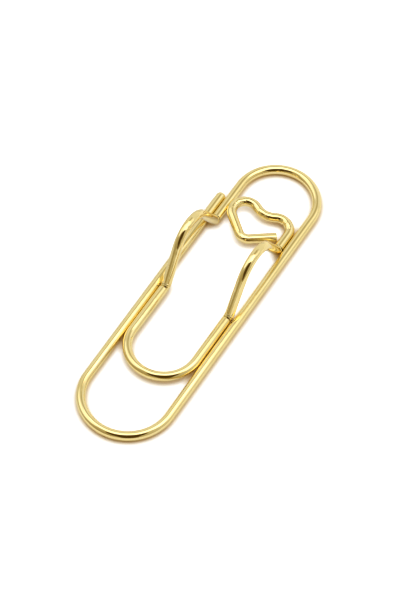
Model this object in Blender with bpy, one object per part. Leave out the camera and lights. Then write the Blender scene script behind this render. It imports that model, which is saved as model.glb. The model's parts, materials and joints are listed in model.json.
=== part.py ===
# Pen-loop paper clip, in metres, +Z up, lying flat with its length along Y.
# One round wire is bent into an outer loop and an inner loop, with two pressed
# pen arches across the middle and a heart at its inner end. The wire is traced
# from its free tip to its cut end, and each stretch of it is an object.

import math

import bpy
from mathutils import Matrix, Vector

# Wire and loops
WIRE_DIAMETER = 0.0020
CLIP_WIDTH = 0.0207  # over the two outer legs
LEG_GAP = 0.00008  # clear space between legs that lie side by side
SHORT_LEG_LENGTH = 0.0096  # straight run from the top bend to the pen arch
INNER_LEG_LENGTH = 0.01195  # straight run from the pen arch to the inner bend
THROAT_LENGTH = 0.01344  # clear space between the inner and the outer bend
FREE_TIP_REACH = 0.00595  # how far the free tip stands past the pen arch
TONGUE_SET_DEG = 0.5  # rise of the inner loop over the outer loop

# Pen arches
ARCH_SPAN = 0.01874  # between the corners at an arch's feet
ARCH_CROWN_INNER_RADIUS = 0.0048  # fits the pen
ARCH_FLANK_DEG = 57.7  # rise of the straight flanks
ARCH_SPLAY_DEG = 1.7  # outward lean of each arch
KINK_INNER_RADIUS = 0.0004  # sharp bends at an arch's feet

# Heart
LOBE_CLEARANCE = 0.00015  # left lobe to the short leg
LOBE_REST_DEG = 29.0  # how high on the short leg's side the left lobe lies
HEART_SHANK_LENGTH = 0.00355  # straight run from the arch to the right lobe
CREST_LENGTH = 0.0006  # straight run from a lobe to the notch
NOTCH_INNER_RADIUS = 0.0027
HEART_FLANK_LENGTH = 0.00438  # straight side from the left lobe to the point
HEART_POINT_INNER_RADIUS = 0.0009
HEART_END_GAP = 0.0001  # cut end to the shank
CREST_SLOPE_DEG = 28.0  # slope down to the notch, on both of its sides
FLANK_SLOPE_DEG = 48.6
TAIL_SLOPE_DEG = 30.4

# Facets and seams
WIRE_SIDES = 12
BEND_STEP_DEG = 7.5
KINK_STEP_DEG = 12.0
TIP_RINGS = 4
TIP_FLAT_SHARE = 0.3  # of the wire's radius, the small flat on the free tip
SEAM_GAP = 0.00004  # between the end faces of stretches that follow each other
SEAM_LAND = 0.00008  # straight lead at the end of a bend, which squares its end face

# Finish
GOLD_COLOUR = (0.86, 0.61, 0.22, 1.0)
GOLD_ROUGHNESS = 0.12

# Places worked out from the sizes above
WIRE_RADIUS = WIRE_DIAMETER / 2
LEG_PITCH = WIRE_DIAMETER + LEG_GAP
OUTER_X = (CLIP_WIDTH - WIRE_DIAMETER) / 2
RAIL_X = OUTER_X - LEG_PITCH
OUTER_RADIUS = OUTER_X
TOP_RADIUS = (OUTER_X + RAIL_X) / 2
INNER_RADIUS = RAIL_X
KINK_RADIUS = WIRE_RADIUS + KINK_INNER_RADIUS
NOTCH_RADIUS = WIRE_RADIUS + NOTCH_INNER_RADIUS
POINT_RADIUS = WIRE_RADIUS + HEART_POINT_INNER_RADIUS
KINK_REACH = KINK_RADIUS * math.tan(math.radians(ARCH_FLANK_DEG) / 2)
CLIP_LENGTH = (
    WIRE_RADIUS
    + TOP_RADIUS
    + SHORT_LEG_LENGTH
    + ARCH_SPAN
    + 2 * KINK_REACH
    + INNER_LEG_LENGTH
    + INNER_RADIUS
    + WIRE_RADIUS
    + THROAT_LENGTH
    + WIRE_DIAMETER
)
TOP_BEND_Y = CLIP_LENGTH / 2 - WIRE_RADIUS - TOP_RADIUS
FAR_FOOT_Y = TOP_BEND_Y - SHORT_LEG_LENGTH
NEAR_FOOT_Y = FAR_FOOT_Y - ARCH_SPAN - 2 * KINK_REACH
INNER_BEND_Y = NEAR_FOOT_Y - INNER_LEG_LENGTH
OUTER_BEND_Y = WIRE_RADIUS + OUTER_RADIUS - CLIP_LENGTH / 2
FREE_TIP_Y = FAR_FOOT_Y + FREE_TIP_REACH

# Hinge points: the apex of each bend, where the wire twists about its own line
OUTER_HINGE = Vector((0, OUTER_BEND_Y - OUTER_RADIUS, WIRE_RADIUS))
TOP_HINGE = Vector((OUTER_X - TOP_RADIUS, TOP_BEND_Y + TOP_RADIUS, WIRE_RADIUS))
INNER_HINGE = Vector((0, INNER_BEND_Y - INNER_RADIUS, WIRE_RADIUS))

UP = Vector((0, 0, 1))


class Wire:
    """A wire that is fed forward and bent, and that records each stretch's points."""

    def __init__(self, start, heading):
        self.place = Vector(start)
        self.heading = Vector(heading)
        self.begin()

    def begin(self):
        self.points = [self.place.copy()]
        self.first_heading = self.heading.copy()

    def feed(self, length):
        self.place = self.place + self.heading * length
        self.points.append(self.place.copy())

    def bend(self, axis, radius, degrees, step=BEND_STEP_DEG):
        """Turns the heading about the axis; a negative angle turns the other way."""
        side = axis.cross(self.heading) * math.copysign(radius, degrees)
        centre = self.place + side
        steps = max(2, math.ceil(abs(degrees) / step))
        turn = Matrix.Rotation(math.radians(degrees) / steps, 3, axis)
        for _ in range(steps):
            self.place = centre + turn @ (self.place - centre)
            self.heading = turn @ self.heading
            self.points.append(self.place.copy())

    def stretch(self):
        """The points since the last stretch, drawn back at both ends by half the seam."""
        points = self.points
        start = points[0] + self.first_heading * SEAM_GAP / 2
        end = points[-1] - self.heading * SEAM_GAP / 2
        inner = points[1:-1]
        if inner:
            inner.insert(0, start + self.first_heading * SEAM_LAND)
            inner.append(end - self.heading * SEAM_LAND)
        self.begin()
        return [start] + inner + [end]


def pen_arch(wire, splay_side):
    """Kink, flank, crown, flank and kink, in a plane that leans to one side."""
    splay = math.radians(ARCH_SPLAY_DEG)
    flank = math.radians(ARCH_FLANK_DEG)
    lean = Vector((splay_side * math.sin(splay), 0, math.cos(splay)))
    across = wire.heading.cross(lean)
    crown = ARCH_CROWN_INNER_RADIUS + WIRE_RADIUS
    run = ARCH_SPAN / 2 / math.cos(flank) - crown * math.tan(flank) - KINK_REACH
    wire.bend(across, KINK_RADIUS, ARCH_FLANK_DEG, KINK_STEP_DEG)
    wire.feed(run)
    wire.bend(across, crown, -2 * ARCH_FLANK_DEG)
    wire.feed(run)
    wire.bend(across, KINK_RADIUS, ARCH_FLANK_DEG, KINK_STEP_DEG)


def heart_lobe():
    """Lobe radius that fills the heart's width, and the tilt of the heart's plane."""
    rest = math.radians(LOBE_REST_DEG)
    reach = WIRE_DIAMETER + LOBE_CLEARANCE
    across = 2 * RAIL_X - reach * math.cos(rest)
    rise = reach * math.sin(rest)
    slope = math.radians(CREST_SLOPE_DEG)
    notch = NOTCH_RADIUS * math.sin(slope) + CREST_LENGTH * math.cos(slope)
    room = math.hypot(across, rise) / 2 - notch
    return room / (1 + math.sin(slope)), math.atan2(rise, across)


def heart_tail(wire):
    """Length of the tail that leaves the named gap between its cut end and the shank."""
    slope = math.radians(TAIL_SLOPE_DEG)
    corner = WIRE_RADIUS * math.sin(slope)
    stop = RAIL_X - WIRE_RADIUS - HEART_END_GAP - corner
    return (stop - wire.place.x) / wire.heading.x


def gold_plate(name):
    material = bpy.data.materials.new(name + "_gold_plate")
    material.use_nodes = True
    shader = material.node_tree.nodes["Principled BSDF"]
    shader.inputs["Base Color"].default_value = GOLD_COLOUR
    shader.inputs["Metallic"].default_value = 1.0
    shader.inputs["Roughness"].default_value = GOLD_ROUGHNESS
    return material


def add_hinge(name, place, parent, collection):
    """An empty on a bend's apex, which carries the stretches that turn there."""
    hinge = bpy.data.objects.new(name, None)
    hinge.empty_display_size = WIRE_DIAMETER
    collection.objects.link(hinge)
    hinge.parent = parent
    hinge.location = place - (parent.matrix_world.translation if parent else Vector())
    bpy.context.view_layer.update()
    return hinge


def add_stretch(name, points, hinge, collection, radii=None):
    """A round wire through the points, with a facet facing down along its underside."""
    origin = hinge.matrix_world.translation if hinge else Vector()
    curve = bpy.data.curves.new(name, "CURVE")
    curve.dimensions = "3D"
    curve.twist_mode = "Z_UP"
    curve.bevel_resolution = (WIRE_SIDES - 4) // 2
    curve.bevel_depth = WIRE_RADIUS / math.cos(math.pi / WIRE_SIDES)
    curve.use_fill_caps = True
    spline = curve.splines.new("POLY")
    spline.points.add(len(points) - 1)
    for index, (point, place) in enumerate(zip(spline.points, points)):
        point.co = (*(place - origin), 1)
        point.tilt = math.pi / WIRE_SIDES
        point.radius = radii[index] if radii else 1
    curve.materials.append(gold_plate(name))
    stretch = bpy.data.objects.new(name, curve)
    stretch.parent = hinge
    collection.objects.link(stretch)


def add_free_leg(wire, hinge, collection):
    """The free leg starts with a rounded tip, whose rings follow a quarter circle."""
    points = []
    radii = []
    last = math.acos(TIP_FLAT_SHARE)
    for ring in range(TIP_RINGS):
        angle = last * (1 - ring / TIP_RINGS)
        points.append(wire.place + wire.heading * WIRE_RADIUS * (1 - math.sin(angle)))
        radii.append(math.cos(angle))
    wire.feed(WIRE_RADIUS)
    wire.begin()
    wire.feed(FREE_TIP_Y - WIRE_RADIUS - OUTER_BEND_Y)
    leg = wire.stretch()
    add_stretch("free_leg", points + leg, hinge, collection, radii + [1, 1])


def build_clip(collection):
    outer_hinge = add_hinge("outer_bend_hinge", OUTER_HINGE, None, collection)
    top_hinge = add_hinge("top_bend_hinge", TOP_HINGE, None, collection)
    inner_hinge = add_hinge("inner_bend_hinge", INNER_HINGE, top_hinge, collection)
    wire = Wire((-OUTER_X, FREE_TIP_Y, WIRE_RADIUS), (0, -1, 0))

    def cut(name, hinge):
        add_stretch(name, wire.stretch(), hinge, collection)

    # Outer loop
    add_free_leg(wire, outer_hinge, collection)
    wire.bend(UP, OUTER_RADIUS, 90)
    cut("outer_bend_free_half", outer_hinge)
    wire.bend(UP, OUTER_RADIUS, 90)
    cut("outer_bend_long_half", None)
    wire.feed(TOP_BEND_Y - OUTER_BEND_Y)
    cut("long_leg", None)
    wire.bend(UP, TOP_RADIUS, 90)
    cut("top_bend_long_half", None)

    # Tongue
    wire.bend(UP, TOP_RADIUS, 90)
    cut("top_bend_short_half", top_hinge)
    wire.feed(SHORT_LEG_LENGTH)
    cut("short_leg", top_hinge)
    pen_arch(wire, -1)
    cut("left_pen_arch", top_hinge)
    wire.feed(INNER_LEG_LENGTH)
    cut("inner_left_leg", top_hinge)
    wire.bend(UP, INNER_RADIUS, 90)
    cut("inner_bend_left_half", top_hinge)

    # Heart arm
    wire.bend(UP, INNER_RADIUS, 90)
    cut("inner_bend_right_half", inner_hinge)
    wire.feed(INNER_LEG_LENGTH)
    cut("inner_right_leg", inner_hinge)
    pen_arch(wire, 1)
    cut("right_pen_arch", inner_hinge)
    wire.feed(HEART_SHANK_LENGTH)
    cut("heart_shank", inner_hinge)

    # Heart, in a plane that rises from the shank to the left lobe
    lobe, tilt = heart_lobe()
    heart_up = Vector((math.sin(tilt), 0, math.cos(tilt)))
    wire.bend(heart_up, lobe, 90 + CREST_SLOPE_DEG, KINK_STEP_DEG)
    wire.feed(CREST_LENGTH)
    wire.bend(heart_up, NOTCH_RADIUS, -CREST_SLOPE_DEG)
    cut("heart_right_lobe", inner_hinge)
    wire.bend(heart_up, NOTCH_RADIUS, -CREST_SLOPE_DEG)
    wire.feed(CREST_LENGTH)
    wire.bend(heart_up, lobe, 90 + CREST_SLOPE_DEG + FLANK_SLOPE_DEG, KINK_STEP_DEG)
    cut("heart_left_lobe", inner_hinge)
    wire.feed(HEART_FLANK_LENGTH)
    wire.bend(heart_up, POINT_RADIUS, FLANK_SLOPE_DEG + TAIL_SLOPE_DEG, KINK_STEP_DEG)
    wire.feed(heart_tail(wire))
    cut("heart_point", inner_hinge)

    # The tongue's set lifts everything that hangs on the top bend
    top_hinge.rotation_euler.x = -math.radians(TONGUE_SET_DEG)


def main():
    for old in list(bpy.data.objects):
        bpy.data.objects.remove(old, do_unlink=True)
    clip = bpy.data.collections.new("pen_loop_paper_clip")
    bpy.context.scene.collection.children.link(clip)
    build_clip(clip)
    print(f"clip {CLIP_LENGTH * 1000:.2f} x {CLIP_WIDTH * 1000:.2f} mm")


main()
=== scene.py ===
import json
import math

import bpy
from mathutils import Matrix, Vector


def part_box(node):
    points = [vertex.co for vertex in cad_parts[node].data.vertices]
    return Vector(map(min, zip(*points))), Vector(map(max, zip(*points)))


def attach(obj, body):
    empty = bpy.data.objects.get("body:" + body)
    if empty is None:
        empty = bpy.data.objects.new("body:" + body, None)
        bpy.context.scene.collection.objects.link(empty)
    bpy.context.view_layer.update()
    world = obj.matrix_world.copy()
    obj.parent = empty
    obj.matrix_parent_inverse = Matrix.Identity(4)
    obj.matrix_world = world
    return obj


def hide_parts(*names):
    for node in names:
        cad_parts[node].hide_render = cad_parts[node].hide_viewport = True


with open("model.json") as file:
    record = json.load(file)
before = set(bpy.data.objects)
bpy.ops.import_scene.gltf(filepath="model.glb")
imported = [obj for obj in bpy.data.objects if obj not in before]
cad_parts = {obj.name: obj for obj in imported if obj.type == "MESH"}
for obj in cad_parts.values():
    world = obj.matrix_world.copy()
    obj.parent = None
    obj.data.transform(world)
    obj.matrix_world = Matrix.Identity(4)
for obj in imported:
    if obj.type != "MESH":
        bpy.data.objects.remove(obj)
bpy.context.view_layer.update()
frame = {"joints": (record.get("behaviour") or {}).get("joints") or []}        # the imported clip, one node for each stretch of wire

mm = 0.001


# Sizes that the frame gives
longLow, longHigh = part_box("long_leg")
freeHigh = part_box("free_leg")[1]
shankLow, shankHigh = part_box("heart_shank")
halfSeam = (longLow.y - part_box("outer_bend_long_half")[1].y) / 2    # the solids leave a hair at each seam
hinges = {joint["name"]: Vector(joint["pos_m"]) for joint in frame["joints"]}
topHinge = hinges["top_bend_twist"]
innerHinge = hinges["inner_bend_twist"]
wireRadius = (longHigh.z - longLow.z) / 2
outerX = (longLow.x + longHigh.x) / 2
railX = (shankLow.x + shankHigh.x) / 2
topRadius = outerX - topHinge.x
outerBendY = longLow.y - halfSeam
topBendY = longHigh.y + halfSeam
tongueSet = math.atan2(innerHinge.z - topHinge.z, topHinge.y - innerHinge.y)
setTurn = Matrix.Rotation(-tongueSet, 3, "X")     # lifts all that hangs on the top bend


# The view, as the photograph was taken
view = {
    "azimuthDeg": 31.138,
    "elevationDeg": 55.613,
    "distance": 0.686709,
    "lens": 206.026,
    "sensorWidth": 36,
    "clip": (0.01, 50),
    "target": (0.0000266, 0.0001015, -0.0000451),
}


def direction(azimuthDeg, elevationDeg):
    azimuth = math.radians(azimuthDeg)
    elevation = math.radians(elevationDeg)
    flat = math.cos(elevation)
    return Vector((math.sin(azimuth) * flat, -math.cos(azimuth) * flat, math.sin(elevation)))


def addCamera():
    back = direction(view["azimuthDeg"], view["elevationDeg"])
    place = Vector(view["target"]) + back * view["distance"]
    turn = (-back).to_track_quat("-Z", "Y").to_euler()
    bpy.ops.object.camera_add(location=place, rotation=turn)
    camera = bpy.context.object
    camera.name = "clipCamera"
    camera.data.lens = view["lens"]
    camera.data.sensor_width = view["sensorWidth"]
    camera.data.clip_start, camera.data.clip_end = view["clip"]
    bpy.context.scene.camera = camera
    print("camera:", [round(value, 4) for value in place])


# Node helpers
def addNode(tree, kind, place, settings=None, inputs=None):
    node = tree.nodes.new(kind)
    node.location = place
    for name, value in (settings or {}).items():
        setattr(node, name, value)
    for name, value in (inputs or {}).items():
        node.inputs[name].default_value = value
    return node


def newGroup(name, inputs, outputs):
    group = bpy.data.node_groups.new(name, "ShaderNodeTree")
    for label, kind, value in inputs:
        socket = group.interface.new_socket(label, in_out="INPUT", socket_type=kind)
        if value is not None:
            socket.default_value = value
    for label, kind in outputs:
        group.interface.new_socket(label, in_out="OUTPUT", socket_type=kind)
    source = addNode(group, "NodeGroupInput", (-700, 0))
    sink = addNode(group, "NodeGroupOutput", (500, 0))
    return group, source, sink


# Fine lines that the drawing die leaves along the wire
dieLineLook = {"streak": 0.12, "lines": {"Scale": 1.0, "Detail": 3.0, "Roughness": 0.65}}


def makeDieLines():
    group, source, sink = newGroup(
        "dieLines",
        [
            ("Lay", "NodeSocketVector", None),
            ("Fineness", "NodeSocketFloat", None),
            ("Streak", "NodeSocketFloat", dieLineLook["streak"]),
        ],
        [("Height", "NodeSocketFloat")],
    )
    stretch = addNode(group, "ShaderNodeCombineXYZ", (-500, -150))
    scale = addNode(group, "ShaderNodeVectorMath", (-320, 0), {"operation": "MULTIPLY"})
    lines = addNode(group, "ShaderNodeTexNoise", (-140, 0), None, dieLineLook["lines"])
    link = group.links.new
    link(source.outputs["Fineness"], stretch.inputs["X"])
    link(source.outputs["Fineness"], stretch.inputs["Y"])
    link(source.outputs["Streak"], stretch.inputs["Z"])
    link(source.outputs["Lay"], scale.inputs[0])
    link(stretch.outputs["Vector"], scale.inputs[1])
    link(scale.outputs["Vector"], lines.inputs["Vector"])
    link(lines.outputs["Fac"], sink.inputs["Height"])
    return group


# Thicker and thinner plating, and the soft waves of a wire bent on rollers
platingLook = {
    "size": 220.0,
    "drift": {"Detail": 2.0, "Roughness": 0.5},
    "toneRange": {"From Min": 0.34, "From Max": 0.66},
    "waveFiner": 2.6,
    "wave": {"Detail": 1.0, "Roughness": 0.4},
}


def makePlating():
    group, source, sink = newGroup(
        "platingDrift",
        [("Vector", "NodeSocketVector", None), ("Size", "NodeSocketFloat", platingLook["size"])],
        [("Tone", "NodeSocketFloat"), ("Wave", "NodeSocketFloat")],
    )
    drift = addNode(group, "ShaderNodeTexNoise", (-400, 120), None, platingLook["drift"])
    tone = addNode(group, "ShaderNodeMapRange", (-120, 120), {"interpolation_type": "SMOOTHSTEP"},
                   platingLook["toneRange"])
    finer = addNode(group, "ShaderNodeMath", (-560, -160), {"operation": "MULTIPLY"},
                    {1: platingLook["waveFiner"]})
    wave = addNode(group, "ShaderNodeTexNoise", (-380, -160), None, platingLook["wave"])
    link = group.links.new
    link(source.outputs["Vector"], drift.inputs["Vector"])
    link(source.outputs["Size"], drift.inputs["Scale"])
    link(source.outputs["Size"], finer.inputs[0])
    link(finer.outputs["Value"], wave.inputs["Scale"])
    link(source.outputs["Vector"], wave.inputs["Vector"])
    link(drift.outputs["Fac"], tone.inputs["Value"])
    link(tone.outputs["Result"], sink.inputs["Tone"])
    link(wave.outputs["Fac"], sink.inputs["Wave"])
    return group


# Smudges and hair scratches from being handled
handlingLook = {
    "size": 500.0,
    "smear": {"Detail": 4.0, "Roughness": 0.6},
    "smudgeRange": {"From Min": 0.5, "From Max": 0.72},
    "hairFiner": 3.5,
    "hair": {"Detail": 2.0, "Roughness": 0.5},
    "scratchRange": {"From Min": 0.82, "From Max": 0.98},
}


def makeHandling():
    group, source, sink = newGroup(
        "handlingMarks",
        [("Vector", "NodeSocketVector", None), ("Size", "NodeSocketFloat", handlingLook["size"])],
        [("Smudge", "NodeSocketFloat"), ("Scratch", "NodeSocketFloat")],
    )
    smear = addNode(group, "ShaderNodeTexNoise", (-400, 120), None, handlingLook["smear"])
    smudge = addNode(group, "ShaderNodeMapRange", (-120, 120), {"interpolation_type": "SMOOTHSTEP"},
                     handlingLook["smudgeRange"])
    finer = addNode(group, "ShaderNodeMath", (-560, -180), {"operation": "MULTIPLY"},
                    {1: handlingLook["hairFiner"]})
    hair = addNode(group, "ShaderNodeTexNoise", (-380, -180), {"noise_type": "RIDGED_MULTIFRACTAL"},
                   handlingLook["hair"])
    scratch = addNode(group, "ShaderNodeMapRange", (-120, -180), None, handlingLook["scratchRange"])
    link = group.links.new
    link(source.outputs["Vector"], smear.inputs["Vector"])
    link(source.outputs["Size"], smear.inputs["Scale"])
    link(source.outputs["Size"], finer.inputs[0])
    link(finer.outputs["Value"], hair.inputs["Scale"])
    link(source.outputs["Vector"], hair.inputs["Vector"])
    link(smear.outputs["Fac"], smudge.inputs["Value"])
    link(hair.outputs["Fac"], scratch.inputs["Value"])
    link(smudge.outputs["Result"], sink.inputs["Smudge"])
    link(scratch.outputs["Result"], sink.inputs["Scratch"])
    return group


# Dents that the bending tool leaves where it grips
toolMarkLook = {
    "size": 1.1,
    "dents": {"Detail": 1.5, "Roughness": 0.45},
    "rubRange": {"From Min": 0.45, "From Max": 0.62},
}


def makeToolMarks():
    group, source, sink = newGroup(
        "toolMarks",
        [
            ("Lay", "NodeSocketVector", None),
            ("Press", "NodeSocketFloat", None),
            ("Size", "NodeSocketFloat", toolMarkLook["size"]),
        ],
        [("Height", "NodeSocketFloat"), ("Mask", "NodeSocketFloat")],
    )
    dents = addNode(group, "ShaderNodeTexNoise", (-400, 100), None, toolMarkLook["dents"])
    press = addNode(group, "ShaderNodeMath", (-120, 100), {"operation": "MULTIPLY"})
    rub = addNode(group, "ShaderNodeMapRange", (-120, -120), {"interpolation_type": "SMOOTHSTEP"},
                  toolMarkLook["rubRange"])
    mask = addNode(group, "ShaderNodeMath", (120, -120), {"operation": "MULTIPLY"})
    link = group.links.new
    link(source.outputs["Lay"], dents.inputs["Vector"])
    link(source.outputs["Size"], dents.inputs["Scale"])
    link(dents.outputs["Fac"], press.inputs[0])
    link(source.outputs["Press"], press.inputs[1])
    link(dents.outputs["Fac"], rub.inputs["Value"])
    link(rub.outputs["Result"], mask.inputs[0])
    link(source.outputs["Press"], mask.inputs[1])
    link(press.outputs["Value"], sink.inputs["Height"])
    link(mask.outputs["Value"], sink.inputs["Mask"])
    return group


dieLines = makeDieLines()
platingDrift = makePlating()
handlingMarks = makeHandling()
toolMarks = makeToolMarks()

# Finishes: heights in microns, roughness from bright to smudged
micron = 0.001 * mm
finishes = {
    "drawnGold": {"pale": (0.99, 0.825, 0.385), "deep": (0.97, 0.785, 0.335), "rough": (0.03, 0.09),
                  "lines": 1.2, "waves": 16.0, "dents": 60.0, "fineness": 9.0},
    "bentGold": {"pale": (0.99, 0.825, 0.385), "deep": (0.97, 0.78, 0.33), "rough": (0.025, 0.08),
                 "lines": 0.8, "waves": 24.0, "dents": 60.0, "fineness": 8.0},
    "pressedGold": {"pale": (0.99, 0.82, 0.38), "deep": (0.96, 0.77, 0.32), "rough": (0.03, 0.10),
                    "lines": 0.8, "waves": 30.0, "dents": 380.0, "fineness": 8.0},
    "cutGold": {"pale": (0.97, 0.76, 0.36), "deep": (0.88, 0.66, 0.30), "rough": (0.2, 0.34),
                "lines": 3.0, "waves": 8.0, "dents": 10.0, "fineness": 22.0},
}


def makeFinish(name):
    finish = finishes[name]
    material = bpy.data.materials.new(name)
    material.use_nodes = True
    tree = material.node_tree
    tree.nodes.clear()
    place = addNode(tree, "ShaderNodeTexCoord", (-1100, 200))
    lay = addNode(tree, "ShaderNodeAttribute", (-1100, -60), {"attribute_name": "wireLay"})
    press = addNode(tree, "ShaderNodeAttribute", (-1100, -300), {"attribute_name": "pressed"})
    lines = addNode(tree, "ShaderNodeGroup", (-820, -60), {"node_tree": dieLines},
                    {"Fineness": finish["fineness"]})
    plating = addNode(tree, "ShaderNodeGroup", (-820, 300), {"node_tree": platingDrift})
    handling = addNode(tree, "ShaderNodeGroup", (-820, 120), {"node_tree": handlingMarks})
    marks = addNode(tree, "ShaderNodeGroup", (-820, -300), {"node_tree": toolMarks})
    colour = addNode(tree, "ShaderNodeMix", (-300, 340), {"data_type": "RGBA"},
                     {"A": (*finish["pale"], 1), "B": (*finish["deep"], 1)})
    wear = addNode(tree, "ShaderNodeMath", (-560, 120), {"operation": "MAXIMUM"})
    dull = addNode(tree, "ShaderNodeMath", (-420, 60), {"operation": "MAXIMUM"})
    rough = addNode(tree, "ShaderNodeMapRange", (-260, 80), None,
                    {"To Min": finish["rough"][0], "To Max": finish["rough"][1]})
    lineHeight = addNode(tree, "ShaderNodeMath", (-560, -100), {"operation": "MULTIPLY"},
                         {1: finish["lines"]})
    waveHeight = addNode(tree, "ShaderNodeMath", (-560, -240), {"operation": "MULTIPLY_ADD"},
                         {1: finish["waves"]})
    dentHeight = addNode(tree, "ShaderNodeMath", (-400, -300), {"operation": "MULTIPLY_ADD"},
                         {1: finish["dents"]})
    bump = addNode(tree, "ShaderNodeBump", (-200, -240), None, {"Strength": 1.0, "Distance": micron})
    shader = addNode(tree, "ShaderNodeBsdfPrincipled", (40, 160), None, {"Metallic": 1.0})
    out = addNode(tree, "ShaderNodeOutputMaterial", (340, 160))
    link = tree.links.new
    for group in (plating, handling):
        link(place.outputs["Object"], group.inputs["Vector"])
    link(lay.outputs["Vector"], lines.inputs["Lay"])
    link(lay.outputs["Vector"], marks.inputs["Lay"])
    link(press.outputs["Fac"], marks.inputs["Press"])
    link(plating.outputs["Tone"], colour.inputs["Factor"])
    link(colour.outputs["Result"], shader.inputs["Base Color"])
    link(handling.outputs["Smudge"], wear.inputs[0])
    link(handling.outputs["Scratch"], wear.inputs[1])
    link(wear.outputs["Value"], dull.inputs[0])
    link(marks.outputs["Mask"], dull.inputs[1])
    link(dull.outputs["Value"], rough.inputs["Value"])
    link(rough.outputs["Result"], shader.inputs["Roughness"])
    link(lines.outputs["Height"], lineHeight.inputs[0])
    link(plating.outputs["Wave"], waveHeight.inputs[0])
    link(lineHeight.outputs["Value"], waveHeight.inputs[2])
    link(marks.outputs["Height"], dentHeight.inputs[0])
    link(waveHeight.outputs["Value"], dentHeight.inputs[2])
    link(dentHeight.outputs["Value"], bump.inputs["Height"])
    link(bump.outputs["Normal"], shader.inputs["Normal"])
    link(shader.outputs["BSDF"], out.inputs["Surface"])
    return material


materials = {name: makeFinish(name) for name in finishes}
print("finishes:", ", ".join(materials))


# The wire is drawn as by hand: a disc, fed forward by extrude and turned by spin
section = {"sides": 48, "bendStepDeg": 1.5, "kinkStepDeg": 3.0, "feedStep": 2.5 * mm, "smoothDeg": 40}
wire = {
    "place": Vector((-outerX, freeHigh.y, wireRadius)),
    "heading": Vector((0, -1, 0)),
    "side": Vector((0, 0, 1)),        # runs along the wire without twisting
    "up": Vector((0, 0, 1)),
    "run": 0.0,
    "rings": [],
}
pieces = []


def noteRing(press=0.0):
    wire["rings"].append((wire["run"] / mm, press))


def startStretch(radius=wireRadius):
    bpy.ops.object.select_all(action="DESELECT")
    heading = wire["heading"]
    axes = Matrix((wire["side"], heading.cross(wire["side"]), heading)).transposed()
    bpy.ops.mesh.primitive_circle_add(vertices=section["sides"], radius=radius, fill_type="NGON",
                                      location=wire["place"], rotation=axes.to_euler())
    bpy.ops.object.transform_apply(location=True, rotation=True, scale=True)
    bpy.ops.object.mode_set(mode="EDIT")
    bpy.ops.mesh.select_all(action="SELECT")
    wire["rings"] = []
    noteRing()


def feedOnce(length):
    move = wire["heading"] * length
    bpy.ops.mesh.extrude_region_move(TRANSFORM_OT_translate={"value": move})
    wire["place"] = wire["place"] + move
    wire["run"] += length
    noteRing()


def feedWire(length):
    steps = max(1, math.ceil(length / section["feedStep"]))
    for _ in range(steps):
        feedOnce(length / steps)


# A step that also swells or shrinks the section, for rounded ends and waists
def feedTaper(length, fromRadius, toRadius):
    feedOnce(length)
    share = toRadius / fromRadius
    bpy.ops.transform.resize(value=(share, share, share), center_override=wire["place"])


# A shallow waist in the wire, where the bending tool bites beside a sharp kink
nick = {"fromKink": 0.05 * mm, "step": 0.22 * mm, "share": 0.8}


def nickWire():
    waist = wireRadius * nick["share"]
    feedTaper(nick["step"], wireRadius, waist)
    feedTaper(nick["step"], waist, wireRadius)


def bendWire(axis, radius, degrees, stepDeg=section["bendStepDeg"], press=0.0):
    steps = max(2, math.ceil(abs(degrees) / stepDeg))
    centre = wire["place"] + axis.cross(wire["heading"]) * math.copysign(radius, degrees)
    bpy.ops.mesh.spin(steps=steps, angle=-math.radians(degrees), center=centre, axis=axis)
    turn = Matrix.Rotation(math.radians(degrees), 3, axis)
    wire["place"] = centre + turn @ (wire["place"] - centre)
    wire["heading"] = turn @ wire["heading"]
    wire["side"] = turn @ wire["side"]
    for step in range(1, steps + 1):
        wire["run"] += radius * math.radians(abs(degrees)) / steps
        noteRing(press * math.sin(math.pi * step / steps) ** 2)


def cutStretch(name, node, body, finish):
    bpy.ops.mesh.select_all(action="SELECT")
    bpy.ops.mesh.normals_make_consistent(inside=False)
    bpy.ops.object.mode_set(mode="OBJECT")
    piece = bpy.context.object
    piece.name = name
    piece.data.name = name
    piece.data.attributes.new("wireLay", "FLOAT_VECTOR", "POINT")
    piece.data.attributes.new("pressed", "FLOAT", "POINT")
    lay = piece.data.attributes["wireLay"]        # looked up once both are there
    pressed = piece.data.attributes["pressed"]
    sides = section["sides"]
    for index in range(len(piece.data.vertices)):
        along, press = wire["rings"][index // sides]
        around = 2 * math.pi * (index % sides) / sides
        lay.data[index].vector = (math.cos(around), math.sin(around), along)
        pressed.data[index].value = press
    bpy.ops.object.shade_smooth_by_angle(angle=math.radians(section["smoothDeg"]))
    piece.data.materials.append(materials[finish])
    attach(piece, body)
    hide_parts(node)
    pieces.append((piece, node))
    return piece


# Outer loop: the free leg's tip is tumbled round, and the bends are wide
outerLoop = {"tipRings": 10, "tipFlatShare": 0.16}


def tipRadius(angle):
    return wireRadius * math.cos(angle)


def drawOuterLoop():
    last = math.acos(outerLoop["tipFlatShare"])
    angles = [last * (1 - ring / outerLoop["tipRings"]) for ring in range(outerLoop["tipRings"] + 1)]
    startStretch(tipRadius(angles[0]))
    for older, newer in zip(angles, angles[1:]):
        step = wireRadius * (math.sin(older) - math.sin(newer))
        feedTaper(step, tipRadius(older), tipRadius(newer))
    feedWire(wire["place"].y - outerBendY)
    cutStretch("freeLeg", "free_leg", "free leg", "drawnGold")
    startStretch()
    bendWire(wire["up"], outerX, 90)
    cutStretch("outerBendFreeHalf", "outer_bend_free_half", "free leg", "bentGold")
    startStretch()
    bendWire(wire["up"], outerX, 90)
    cutStretch("outerBendLongHalf", "outer_bend_long_half", "outer loop", "bentGold")
    startStretch()
    feedWire(topBendY - outerBendY)
    cutStretch("longLeg", "long_leg", "outer loop", "drawnGold")
    startStretch()
    bendWire(wire["up"], topRadius, 90)
    cutStretch("topBendLongHalf", "top_bend_long_half", "outer loop", "bentGold")


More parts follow.
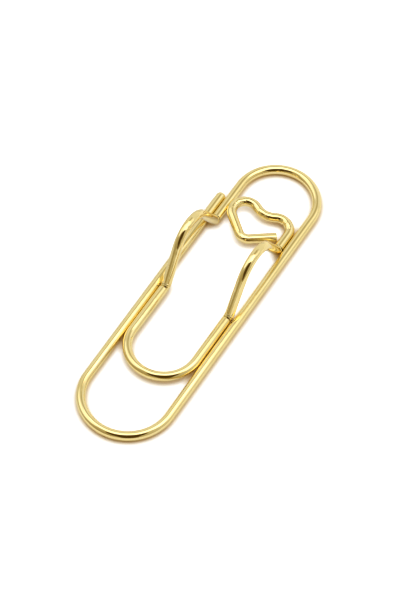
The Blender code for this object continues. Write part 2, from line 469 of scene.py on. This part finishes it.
# Pen arches: sharp kinks at the feet, straight flanks and a round crown
penArch = {"span": 18.74 * mm, "crownInner": 4.8 * mm, "flankDeg": 57.7, "splayDeg": 1.7,
           "kinkInner": 0.4 * mm, "kinkPress": 1.0, "crownPress": 0.25}


def drawArch(side):
    splay = math.radians(penArch["splayDeg"])
    flank = math.radians(penArch["flankDeg"])
    lean = setTurn @ Vector((side * math.sin(splay), 0, math.cos(splay)))
    across = wire["heading"].cross(lean)
    crown = penArch["crownInner"] + wireRadius
    kink = penArch["kinkInner"] + wireRadius
    kinkReach = kink * math.tan(flank / 2)
    run = penArch["span"] / 2 / math.cos(flank) - crown * math.tan(flank) - kinkReach
    bendWire(across, kink, penArch["flankDeg"], section["kinkStepDeg"], penArch["kinkPress"])
    feedWire(run)
    bendWire(across, crown, -2 * penArch["flankDeg"], press=penArch["crownPress"])
    feedWire(run)
    bendWire(across, kink, penArch["flankDeg"], section["kinkStepDeg"], penArch["kinkPress"])


# Tongue: from the top bend over the left arch to the inner bend's apex
tongue = {"shortLeg": 9.6 * mm, "innerLeg": 11.95 * mm, "twistGap": 0.004 * mm}


def drawTongue():
    wire["up"] = setTurn @ wire["up"]
    wire["side"] = setTurn @ wire["side"]
    startStretch()
    bendWire(wire["up"], topRadius, 90)
    cutStretch("topBendShortHalf", "top_bend_short_half", "tongue", "bentGold")
    startStretch()
    feedWire(tongue["shortLeg"])
    cutStretch("shortLeg", "short_leg", "tongue", "drawnGold")
    startStretch()
    drawArch(-1)
    cutStretch("leftPenArch", "left_pen_arch", "tongue", "pressedGold")
    startStretch()
    feedWire(nick["fromKink"])
    nickWire()
    feedWire(tongue["innerLeg"] - nick["fromKink"] - 2 * nick["step"])
    cutStretch("innerLeftLeg", "inner_left_leg", "tongue", "drawnGold")
    startStretch()
    bendWire(wire["up"], railX, 90)
    cutStretch("innerBendLeftHalf", "inner_bend_left_half", "tongue", "bentGold")


# Heart arm: the inner bend's other half, the right arch and the heart
heart = {"shank": 3.55 * mm, "lobeClearance": 0.15 * mm, "lobeRestDeg": 29.0, "crest": 0.6 * mm,
         "notchInner": 2.7 * mm, "flank": 4.38 * mm, "pointInner": 0.9 * mm, "endGap": 0.1 * mm,
         "crestSlopeDeg": 28.0, "flankSlopeDeg": 48.6, "tailSlopeDeg": 30.4,
         "lobePress": 0.5, "notchPress": 0.3, "pointPress": 0.6, "edgeRound": 0.14 * mm, "edgeSteps": 4}


def drawHeartArm():
    wire["place"] = wire["place"] + wire["heading"] * tongue["twistGap"]    # room for the halves to twist
    startStretch()
    bendWire(wire["up"], railX, 90)
    cutStretch("innerBendRightHalf", "inner_bend_right_half", "heart arm", "bentGold")
    startStretch()
    feedWire(tongue["innerLeg"] - nick["fromKink"] - 2 * nick["step"])
    nickWire()
    feedWire(nick["fromKink"])
    cutStretch("innerRightLeg", "inner_right_leg", "heart arm", "drawnGold")
    startStretch()
    drawArch(1)
    cutStretch("rightPenArch", "right_pen_arch", "heart arm", "pressedGold")
    startStretch()
    feedWire(heart["shank"])
    cutStretch("heartShank", "heart_shank", "heart arm", "drawnGold")


# The heart lies in a plane that rises from the shank to the left lobe
def heartPlane():
    rest = math.radians(heart["lobeRestDeg"])
    slope = math.radians(heart["crestSlopeDeg"])
    reach = 2 * wireRadius + heart["lobeClearance"]
    across = 2 * railX - reach * math.cos(rest)
    rise = reach * math.sin(rest)
    notch = heart["notchInner"] + wireRadius
    room = math.hypot(across, rise) / 2 - notch * math.sin(slope) - heart["crest"] * math.cos(slope)
    tilt = math.atan2(rise, across)
    up = setTurn @ Vector((math.sin(tilt), 0, math.cos(tilt)))
    return up, room / (1 + math.sin(slope)), notch


def tailLength():
    corner = wireRadius * math.sin(math.radians(heart["tailSlopeDeg"]))
    stop = railX - wireRadius - heart["endGap"] - corner
    return (stop - wire["place"].x) / wire["heading"].x


# The cut end of the wire has a small rolled edge and a sheared face
def closeCutEnd():
    edge = heart["edgeRound"]
    steps = heart["edgeSteps"]
    older = wireRadius
    for step in range(1, steps + 1):
        angle = math.pi / 2 * step / steps
        newer = wireRadius - edge * (1 - math.cos(angle))
        ahead = edge * (math.sin(angle) - math.sin(angle - math.pi / 2 / steps))
        feedTaper(ahead, older, newer)
        older = newer


def shearFace(piece):
    piece.data.materials.append(materials["cutGold"])
    lastRing = len(piece.data.vertices) - section["sides"]
    for face in piece.data.polygons:
        if min(face.vertices) >= lastRing:
            face.material_index = 1


def drawHeart():
    up, lobe, notch = heartPlane()
    crestSlope = heart["crestSlopeDeg"]
    flankSlope = heart["flankSlopeDeg"]
    step = section["kinkStepDeg"]
    startStretch()
    bendWire(up, lobe, 90 + crestSlope, step, heart["lobePress"])
    feedWire(heart["crest"])
    bendWire(up, notch, -crestSlope, step, heart["notchPress"])
    cutStretch("heartRightLobe", "heart_right_lobe", "heart arm", "pressedGold")
    startStretch()
    bendWire(up, notch, -crestSlope, step, heart["notchPress"])
    feedWire(heart["crest"])
    bendWire(up, lobe, 90 + crestSlope + flankSlope, step, heart["lobePress"])
    cutStretch("heartLeftLobe", "heart_left_lobe", "heart arm", "pressedGold")
    startStretch()
    feedWire(heart["flank"])
    bendWire(up, heart["pointInner"] + wireRadius, flankSlope + heart["tailSlopeDeg"], step,
             heart["pointPress"])
    feedWire(tailLength() - heart["edgeRound"] - halfSeam)
    closeCutEnd()
    shearFace(cutStretch("heartPoint", "heart_point", "heart arm", "pressedGold"))


# Studio: white paper under the clip, with a painted warm contact shadow, in a grey tent, with soft light
# above and the dark camera end
studio = {
    "floorSize": 6.0,
    "floorDrop": 0.02 * mm,
    "floorColour": (0.8, 0.8, 0.8),
    "cameraLift": 1.0,
    "mirrorLift": (0.03, 0.25),    # the mirrored paper is duller left of the clip
    "mirrorSide": (-12.5 * mm, -10.5 * mm),
    # painted shadow: near the wire the paper's glow and colour are darkened and tinted warm brown, by
    # occlusion within this reach
    "paintedShadowReach": 1.6 * mm,
    "paintedShadowSamples": 16,
    "paintedShadowTint": (1.0, 0.70, 0.26),
    "paintedShadowRange": (0.25, 0.75),
    "wallFront": 0.35,
    "wallBack": 0.86,
    "whiteLevel": 0.8,
    "warmth": {"Green": 0.24, "Blue": 0.95},
}


def addFloor():
    bpy.ops.object.select_all(action="DESELECT")
    bpy.ops.mesh.primitive_plane_add(size=studio["floorSize"], location=(0, 0, -studio["floorDrop"]))
    floor = bpy.context.object
    floor.name = "paperFloor"
    paper = bpy.data.materials.new("whitePaper")
    paper.use_nodes = True
    tree = paper.node_tree
    tree.nodes.clear()
    matt = addNode(tree, "ShaderNodeBsdfDiffuse", (0, 160))
    sheetWithPaintedShadow = addNode(tree, "ShaderNodeMix", (-160, 180), {"data_type": "RGBA", "blend_type": "MULTIPLY"},
                    {"Factor": 1.0, "B": (*studio["floorColour"], 1)})
    rays = addNode(tree, "ShaderNodeLightPath", (-900, -120))
    mirrorLift = addNode(tree, "ShaderNodeMath", (-520, -200), {"operation": "MULTIPLY"})
    spot = addNode(tree, "ShaderNodeTexCoord", (-1080, -400))
    across = addNode(tree, "ShaderNodeSeparateXYZ", (-900, -400))
    side = addNode(tree, "ShaderNodeMapRange", (-720, -400), {"interpolation_type": "SMOOTHSTEP"},
                   {"From Min": studio["mirrorSide"][0], "From Max": studio["mirrorSide"][1],
                    "To Min": studio["mirrorLift"][0], "To Max": studio["mirrorLift"][1]})
    lift = addNode(tree, "ShaderNodeMath", (-340, -120), {"operation": "MULTIPLY_ADD"},
                   {1: studio["cameraLift"]})
    # Painted shadow: the paper's glow is scaled by the square of its occlusion near the wire, and glow and
    # matt colour both turn warm brown there, standing in for the contact shadow and the gold's warm bounce
    # light
    paintedShadowMask = addNode(tree, "ShaderNodeAmbientOcclusion", (-900, 60), {"samples": studio["paintedShadowSamples"]},
                   {"Distance": studio["paintedShadowReach"]})
    # the square of the occlusion, which darkens the glow as painted shadow
    clear = addNode(tree, "ShaderNodeMath", (-520, -20), {"operation": "MULTIPLY"})
    shade = addNode(tree, "ShaderNodeMapRange", (-620, 180), None,
                    {"From Min": studio["paintedShadowRange"][0], "From Max": studio["paintedShadowRange"][1]})
    paintedShadowColour = addNode(tree, "ShaderNodeMix", (-340, 60), {"data_type": "RGBA"},
                   {"A": (*studio["paintedShadowTint"], 1), "B": (1, 1, 1, 1)})
    paintedShadowStrength = addNode(tree, "ShaderNodeMath", (-180, -120), {"operation": "MULTIPLY"})
    glow = addNode(tree, "ShaderNodeEmission", (0, -60))
    both = addNode(tree, "ShaderNodeAddShader", (200, 40))
    out = addNode(tree, "ShaderNodeOutputMaterial", (380, 40))
    link = tree.links.new
    link(spot.outputs["Object"], across.inputs["Vector"])
    link(across.outputs["X"], side.inputs["Value"])
    link(rays.outputs["Is Glossy Ray"], mirrorLift.inputs[0])
    link(side.outputs["Result"], mirrorLift.inputs[1])
    link(rays.outputs["Is Camera Ray"], lift.inputs[0])
    link(mirrorLift.outputs["Value"], lift.inputs[2])
    link(paintedShadowMask.outputs["AO"], clear.inputs[0])
    link(paintedShadowMask.outputs["AO"], clear.inputs[1])
    link(paintedShadowMask.outputs["AO"], shade.inputs["Value"])
    link(shade.outputs["Result"], paintedShadowColour.inputs["Factor"])
    link(lift.outputs["Value"], paintedShadowStrength.inputs[0])
    link(clear.outputs["Value"], paintedShadowStrength.inputs[1])
    link(paintedShadowColour.outputs["Result"], glow.inputs["Color"])
    # the painted warm shadow colour also darkens the matt paper's own colour near the wire
    link(paintedShadowColour.outputs["Result"], sheetWithPaintedShadow.inputs["A"])
    link(sheetWithPaintedShadow.outputs["Result"], matt.inputs["Color"])
    link(paintedShadowStrength.outputs["Value"], glow.inputs["Strength"])
    link(matt.outputs["BSDF"], both.inputs[0])
    link(glow.outputs["Emission"], both.inputs[1])
    link(both.outputs["Shader"], out.inputs["Surface"])
    floor.data.materials.append(paper)


# The soft panel hangs low, so each leg mirrors another part of it
softPanel = {
    "place": (0.0615, 0.051, 0.204),
    "half": (0.1135, 0.081),
    "edge": 0.045,
    "turnDeg": 7.0,
    "level": 2.0,
}


def addPanel():
    bpy.ops.object.select_all(action="DESELECT")
    halfX, halfY = softPanel["half"]
    bpy.ops.mesh.primitive_plane_add(size=2, location=softPanel["place"])
    panel = bpy.context.object
    panel.name = "softPanel"
    bpy.ops.transform.resize(value=(halfX, halfY, 1))
    bpy.ops.object.transform_apply(location=False, rotation=False, scale=True)
    panel.rotation_euler.z = math.radians(softPanel["turnDeg"])
    cloth = bpy.data.materials.new("litCloth")
    cloth.use_nodes = True
    tree = cloth.node_tree
    tree.nodes.clear()
    link = tree.links.new
    spot = addNode(tree, "ShaderNodeTexCoord", (-1100, 0))
    reach = addNode(tree, "ShaderNodeVectorMath", (-920, 0), {"operation": "ABSOLUTE"})
    sides = addNode(tree, "ShaderNodeSeparateXYZ", (-740, 0))
    rays = addNode(tree, "ShaderNodeLightPath", (-740, -300))
    cover = addNode(tree, "ShaderNodeMath", (-560, -300), {"operation": "SUBTRACT"}, {0: 1.0})
    link(spot.outputs["Object"], reach.inputs[0])
    link(reach.outputs["Vector"], sides.inputs["Vector"])
    link(rays.outputs["Is Camera Ray"], cover.inputs[1])
    for index, half in enumerate((halfX, halfY)):
        mask = addNode(tree, "ShaderNodeMapRange", (-560, 160 - 200 * index),
                       {"interpolation_type": "SMOOTHSTEP"},
                       {"From Min": half, "From Max": half - softPanel["edge"]})
        share = addNode(tree, "ShaderNodeMath", (-360 + 160 * index, -160), {"operation": "MULTIPLY"})
        link(sides.outputs["XY"[index]], mask.inputs["Value"])
        link(mask.outputs["Result"], share.inputs[0])
        link(cover.outputs["Value"], share.inputs[1])
        cover = share
    clear = addNode(tree, "ShaderNodeBsdfTransparent", (-40, 120))
    glow = addNode(tree, "ShaderNodeEmission", (-40, -280), None, {"Strength": softPanel["level"]})
    blend = addNode(tree, "ShaderNodeMixShader", (160, 0))
    out = addNode(tree, "ShaderNodeOutputMaterial", (340, 0))
    link(cover.outputs["Value"], blend.inputs["Fac"])
    link(clear.outputs["BSDF"], blend.inputs[1])
    link(glow.outputs["Emission"], blend.inputs[2])
    link(blend.outputs["Shader"], out.inputs["Surface"])
    panel.data.materials.append(cloth)


# Soft patches on the tent, in the order in which each covers those before it
patches = {
    "leftBox": {"azimuthDeg": -80, "elevationDeg": 47, "edgeDeg": (26, 17), "level": 1.2},
    "topBox": {"azimuthDeg": -150, "elevationDeg": 82, "edgeDeg": (26, 18), "level": 1.88},
    "leftBack": {"azimuthDeg": -129, "elevationDeg": 34, "edgeDeg": (15, 7), "level": 0.82},
    "rightBack": {"azimuthDeg": 135, "elevationDeg": 44, "edgeDeg": (18, 9), "level": 1.1},
    "backGap": {"azimuthDeg": -168, "elevationDeg": 57, "edgeDeg": (17, 8), "level": 0.48},
    "frontGlow": {"azimuthDeg": 18, "elevationDeg": -8, "edgeDeg": (28, 14), "level": 0.58},
    "lensHolder": {"azimuthDeg": 32, "elevationDeg": 25, "edgeDeg": (22, 15), "level": 0.1},
    "lensCard": {"azimuthDeg": 27, "elevationDeg": 51, "edgeDeg": (31, 25), "level": 0.07},
}


def addLight():
    world = bpy.data.worlds.new("paperTent")
    bpy.context.scene.world = world
    world.use_nodes = True
    tree = world.node_tree
    tree.nodes.clear()
    link = tree.links.new
    place = addNode(tree, "ShaderNodeTexCoord", (-1200, 0))
    facing = addNode(tree, "ShaderNodeVectorMath", (-1000, 0), {"operation": "DOT_PRODUCT"},
                     {1: (0, 1, 0)})    # grows from the front to the back
    wall = addNode(tree, "ShaderNodeMapRange", (-820, 0), None,
                   {"From Min": -1.0, "To Min": studio["wallFront"], "To Max": studio["wallBack"]})
    link(place.outputs["Generated"], facing.inputs[0])
    link(facing.outputs["Value"], wall.inputs["Value"])
    level = wall.outputs["Result"]
    for index, (name, patch) in enumerate(patches.items()):
        outer, inner = [math.cos(math.radians(edge)) for edge in patch["edgeDeg"]]
        toward = addNode(tree, "ShaderNodeVectorMath", (-1000, -220 - 200 * index),
                         {"operation": "DOT_PRODUCT", "label": name},
                         {1: direction(patch["azimuthDeg"], patch["elevationDeg"])})
        mask = addNode(tree, "ShaderNodeMapRange", (-820, -220 - 200 * index),
                       {"interpolation_type": "SMOOTHSTEP"}, {"From Min": outer, "From Max": inner})
        blend = addNode(tree, "ShaderNodeMix", (-560 + 180 * index, -100), {"data_type": "FLOAT"},
                        {"B": patch["level"]})
        link(place.outputs["Generated"], toward.inputs[0])
        link(toward.outputs["Value"], mask.inputs["Value"])
        link(mask.outputs["Result"], blend.inputs["Factor"])
        link(level, blend.inputs["A"])
        level = blend.outputs["Result"]
    # Dim places are warm, as gold-lit paper is, and lit ones white
    dim = addNode(tree, "ShaderNodeMath", (420, -260), {"operation": "DIVIDE", "use_clamp": True},
                  {1: studio["whiteLevel"]})
    warm = addNode(tree, "ShaderNodeCombineColor", (960, -160))
    link(level, dim.inputs[0])
    link(level, warm.inputs["Red"])
    for index, (name, power) in enumerate(studio["warmth"].items()):
        bent = addNode(tree, "ShaderNodeMath", (600, -260 - 180 * index), {"operation": "POWER"}, {1: power})
        part = addNode(tree, "ShaderNodeMath", (780, -260 - 180 * index), {"operation": "MULTIPLY"})
        link(dim.outputs["Value"], bent.inputs[0])
        link(bent.outputs["Value"], part.inputs[0])
        link(level, part.inputs[1])
        link(part.outputs["Value"], warm.inputs[name])
    rays = addNode(tree, "ShaderNodeLightPath", (960, 200))
    white = addNode(tree, "ShaderNodeMix", (1140, 60), {"data_type": "RGBA"}, {"B": (1, 1, 1, 1)})
    glow = addNode(tree, "ShaderNodeBackground", (1320, 60))
    out = addNode(tree, "ShaderNodeOutputWorld", (1500, 60))
    link(rays.outputs["Is Camera Ray"], white.inputs["Factor"])
    link(warm.outputs["Color"], white.inputs["A"])
    link(white.outputs["Result"], glow.inputs["Color"])
    link(glow.outputs["Background"], out.inputs["Surface"])


addCamera()
drawOuterLoop()
print("outer loop drawn")
drawTongue()
print("tongue drawn")
drawHeartArm()
drawHeart()
print("heart arm drawn")
addFloor()
addPanel()
addLight()
print("studio lit")
bpy.context.scene.view_settings.view_transform = "Standard"

# How far the dressed wire departs from its solids
bpy.context.view_layer.update()
worst = (0.0, "")
for piece, node in pieces:
    corners = [piece.matrix_world @ Vector(corner) for corner in piece.bound_box]
    for axis in range(3):
        values = [corner[axis] for corner in corners]
        solid = [corner[axis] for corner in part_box(node)]
        gap = max(abs(min(values) - solid[0]), abs(max(values) - solid[1]))
        worst = max(worst, (gap, node))
print("largest step from a solid: %.3f mm, at %s" % (worst[0] / mm, worst[1]))
